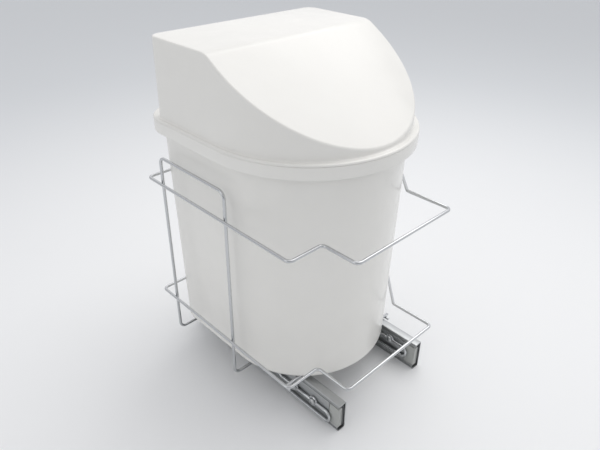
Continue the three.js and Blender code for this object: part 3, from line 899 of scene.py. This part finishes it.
print("roof folds at y =", fold_y, "and meets the front at z =", lid_front_z)

# %% [markdown]
# ## The lid's flange
#
# The hood is made twice. The outside has a soft fold and rounded edges, and the inside is
# sharp, because nobody sees it. The flange follows the outline of the bin and not that of the
# hood. Both outlines have the same number of points, so their open loops can be bridged one
# to one.

# %% Mould the lid
def open_loops(shape):
    loose = {edge for edge in shape.edges if edge.is_boundary}
    loops = []
    while loose:
        loop, waiting = [], [loose.pop()]
        while waiting:
            edge = waiting.pop()
            loop.append(edge)
            touching = {e for vert in edge.verts for e in vert.link_edges} & loose
            loose -= touching
            waiting += touching
        loops.append(loop)
    return sorted(loops, key=lambda loop: max(v.co.x for e in loop for v in e.verts))


flange_z, seat_z, spigot_z, tube_top_z = 360.7, 358.3, 349.3, 470
lid_wall = 2.2
shape = hood(
    [(4.2, flange_z, 0), (1.5, flange_z, 2.6), (-0.1, tube_top_z, 0)],
    wall=0, fold_round=7, edge_round=2.5,
)
inside = hood(
    [(-0.7, flange_z, 0), (-2.3, tube_top_z, 0)], wall=lid_wall, fold_round=0, edge_round=0,
)
pour(shape, inside)
skirt = bmesh.new()
section = draw_section(skirt, bin_half, bin_centre_y, [
    (9.3, flange_z, 0), (rim_out, flange_z, 2.2), (rim_out, seat_z, 0.1), (-3, seat_z, 0.5),
    (-3, spigot_z, 0.8), (-3 - lid_wall, spigot_z, 0.8), (-3 - lid_wall, 356.1, 0),
])
carry_round(skirt, section, bin_half, bin_back_y, bin_centre_y, bin_corner)
pour(shape, skirt)
loops = open_loops(shape)
print("open loops to bridge:", [len(loop) for loop in loops])
for inner, outer in (loops[0:2], loops[2:4]):
    bmesh.ops.bridge_loops(shape, edges=[*inner, *outer])
bmesh.ops.recalc_face_normals(shape, faces=shape.faces)
fit(piece_from("lid_hood", shape), "bin_lid", "gloss_white", white, "lid")

# %% [markdown]
# ## Camera
#
# The camera stands where the photographer's did: in front and to the left, looking down at
# 31 degrees, from about 0.9 metres. The place and the lens were worked out from the
# drawing's own straight edges. The lens is a focal length in pixels over the image's width.

# %% Set up the camera
image_width, focal_pixels, sensor = 600, 569.44, 36
eye = Vector((-0.45343, -0.44890, 0.59977))
gaze = Vector((0.5996, 0.6108, -0.5171))
roll = math.radians(0.8)

camera_data = bpy.data.cameras.new("camera")
camera_data.sensor_width = sensor
camera_data.lens = sensor * focal_pixels / image_width
camera = bpy.data.objects.new("camera", camera_data)
camera.matrix_world = (
    Matrix.Translation(eye)
    @ gaze.to_track_quat("-Z", "Y").to_matrix().to_4x4()
    @ Matrix.Rotation(roll, 4, "Z")
)
bpy.context.scene.collection.objects.link(camera)
bpy.context.scene.camera = camera
print("lens:", round(camera_data.lens, 2), "mm")

# %% [markdown]
# ## Floor
#
# The floor is a sheet of matt white card, one large disc, so that every view has a floor. Its
# colour
# carries a painted pool of light: lightest in the middle, under the lamps, fading to a pale grey
# far away.

# %% Lay the floor
floor_radius, floor_sides = 6000, 96

card, tree = start_finish("matt_white_card_painted_light")
place = add(tree, "ShaderNodeTexCoord").outputs["Object"]
away = add(tree, "ShaderNodeVectorMath", {0: place}, operation="LENGTH")
# painted light: the card's colour goes from near white in the middle to pale grey far out
painted_light_falloff = add(tree, "ShaderNodeMapRange", {
    "Value": away.outputs["Value"], "From Min": 0.3, "From Max": 1.6, "To Min": 0.0, "To Max": 1.0,
}, interpolation_type="SMOOTHSTEP")
tone = add(tree, "ShaderNodeMix", {
    "Factor": painted_light_falloff.outputs["Result"], "A": linear("#EDEEEF"), "B": linear("#D6D9DC"),
}, data_type="RGBA")
end_finish(card, tree, {"Base Color": tone.outputs["Result"], "Roughness": 0.75})

shape = bmesh.new()
bmesh.ops.create_circle(shape, cap_ends=True, segments=floor_sides, radius=floor_radius)
floor = piece_from("floor", shape)
floor.data.materials.append(card)

# %% [markdown]
# ## Light
#
# A white object in a white room is drawn by small differences. One broad lamp hangs high on
# the right, so the lid's slope and the right side are bright and the shadow falls to the
# left. A weaker one lights the left side. The room itself is darker on the camera's side,
# which gives the chrome something grey to mirror. The camera sees the room as a plain pale
# grey, whatever its light.

# %% Hang the lamps
def lamp(name, spot, aim, size, watts, colour):
    data = bpy.data.lights.new(name, "AREA")
    data.shape = "SQUARE"
    data.size = size
    data.energy = watts
    data.color = linear(colour)[:3]
    holder = bpy.data.objects.new(name, data)
    toward = Vector(aim) - Vector(spot)
    holder.matrix_world = (
        Matrix.Translation(spot) @ toward.to_track_quat("-Z", "Y").to_matrix().to_4x4()
    )
    bpy.context.scene.collection.objects.link(holder)


lamp("key", spot=(0.75, 0.05, 1.6), aim=(0, 0, 0.2), size=1.3, watts=9, colour="#FFFEFC")
lamp("side", spot=(-1.6, 0.1, 0.9), aim=(0, 0, 0.3), size=1.2, watts=3, colour="#FFFFFF")

brightest_way = (0.8, 0.35, 0.5)
room = bpy.data.worlds.new("room")
room.use_nodes = True
bpy.context.scene.world = room
tree = room.node_tree
tree.nodes.clear()
heading = add(tree, "ShaderNodeTexCoord").outputs["Generated"]
facing = add(
    tree, "ShaderNodeVectorMath", {0: heading, 1: brightest_way}, operation="DOT_PRODUCT",
)
brighter = add(tree, "ShaderNodeMapRange", {
    "Value": facing.outputs["Value"], "From Min": -0.7, "From Max": 0.7,
    "To Min": 0.46, "To Max": 0.92,
})
lit = add(tree, "ShaderNodeBackground", {
    "Color": linear("#FDFDFF"), "Strength": brighter.outputs["Result"],
})
seen = add(tree, "ShaderNodeBackground", {"Color": linear("#DCDFE2"), "Strength": 1.0})
rays = add(tree, "ShaderNodeLightPath")
choice = add(tree, "ShaderNodeMixShader", {
    0: rays.outputs["Is Camera Ray"], 1: lit.outputs["Background"], 2: seen.outputs["Background"],
})
add(tree, "ShaderNodeOutputWorld", {"Surface": choice.outputs["Shader"]})
bpy.context.scene.view_settings.view_transform = "Standard"
print("two lamps and a room of", len(tree.nodes), "nodes")
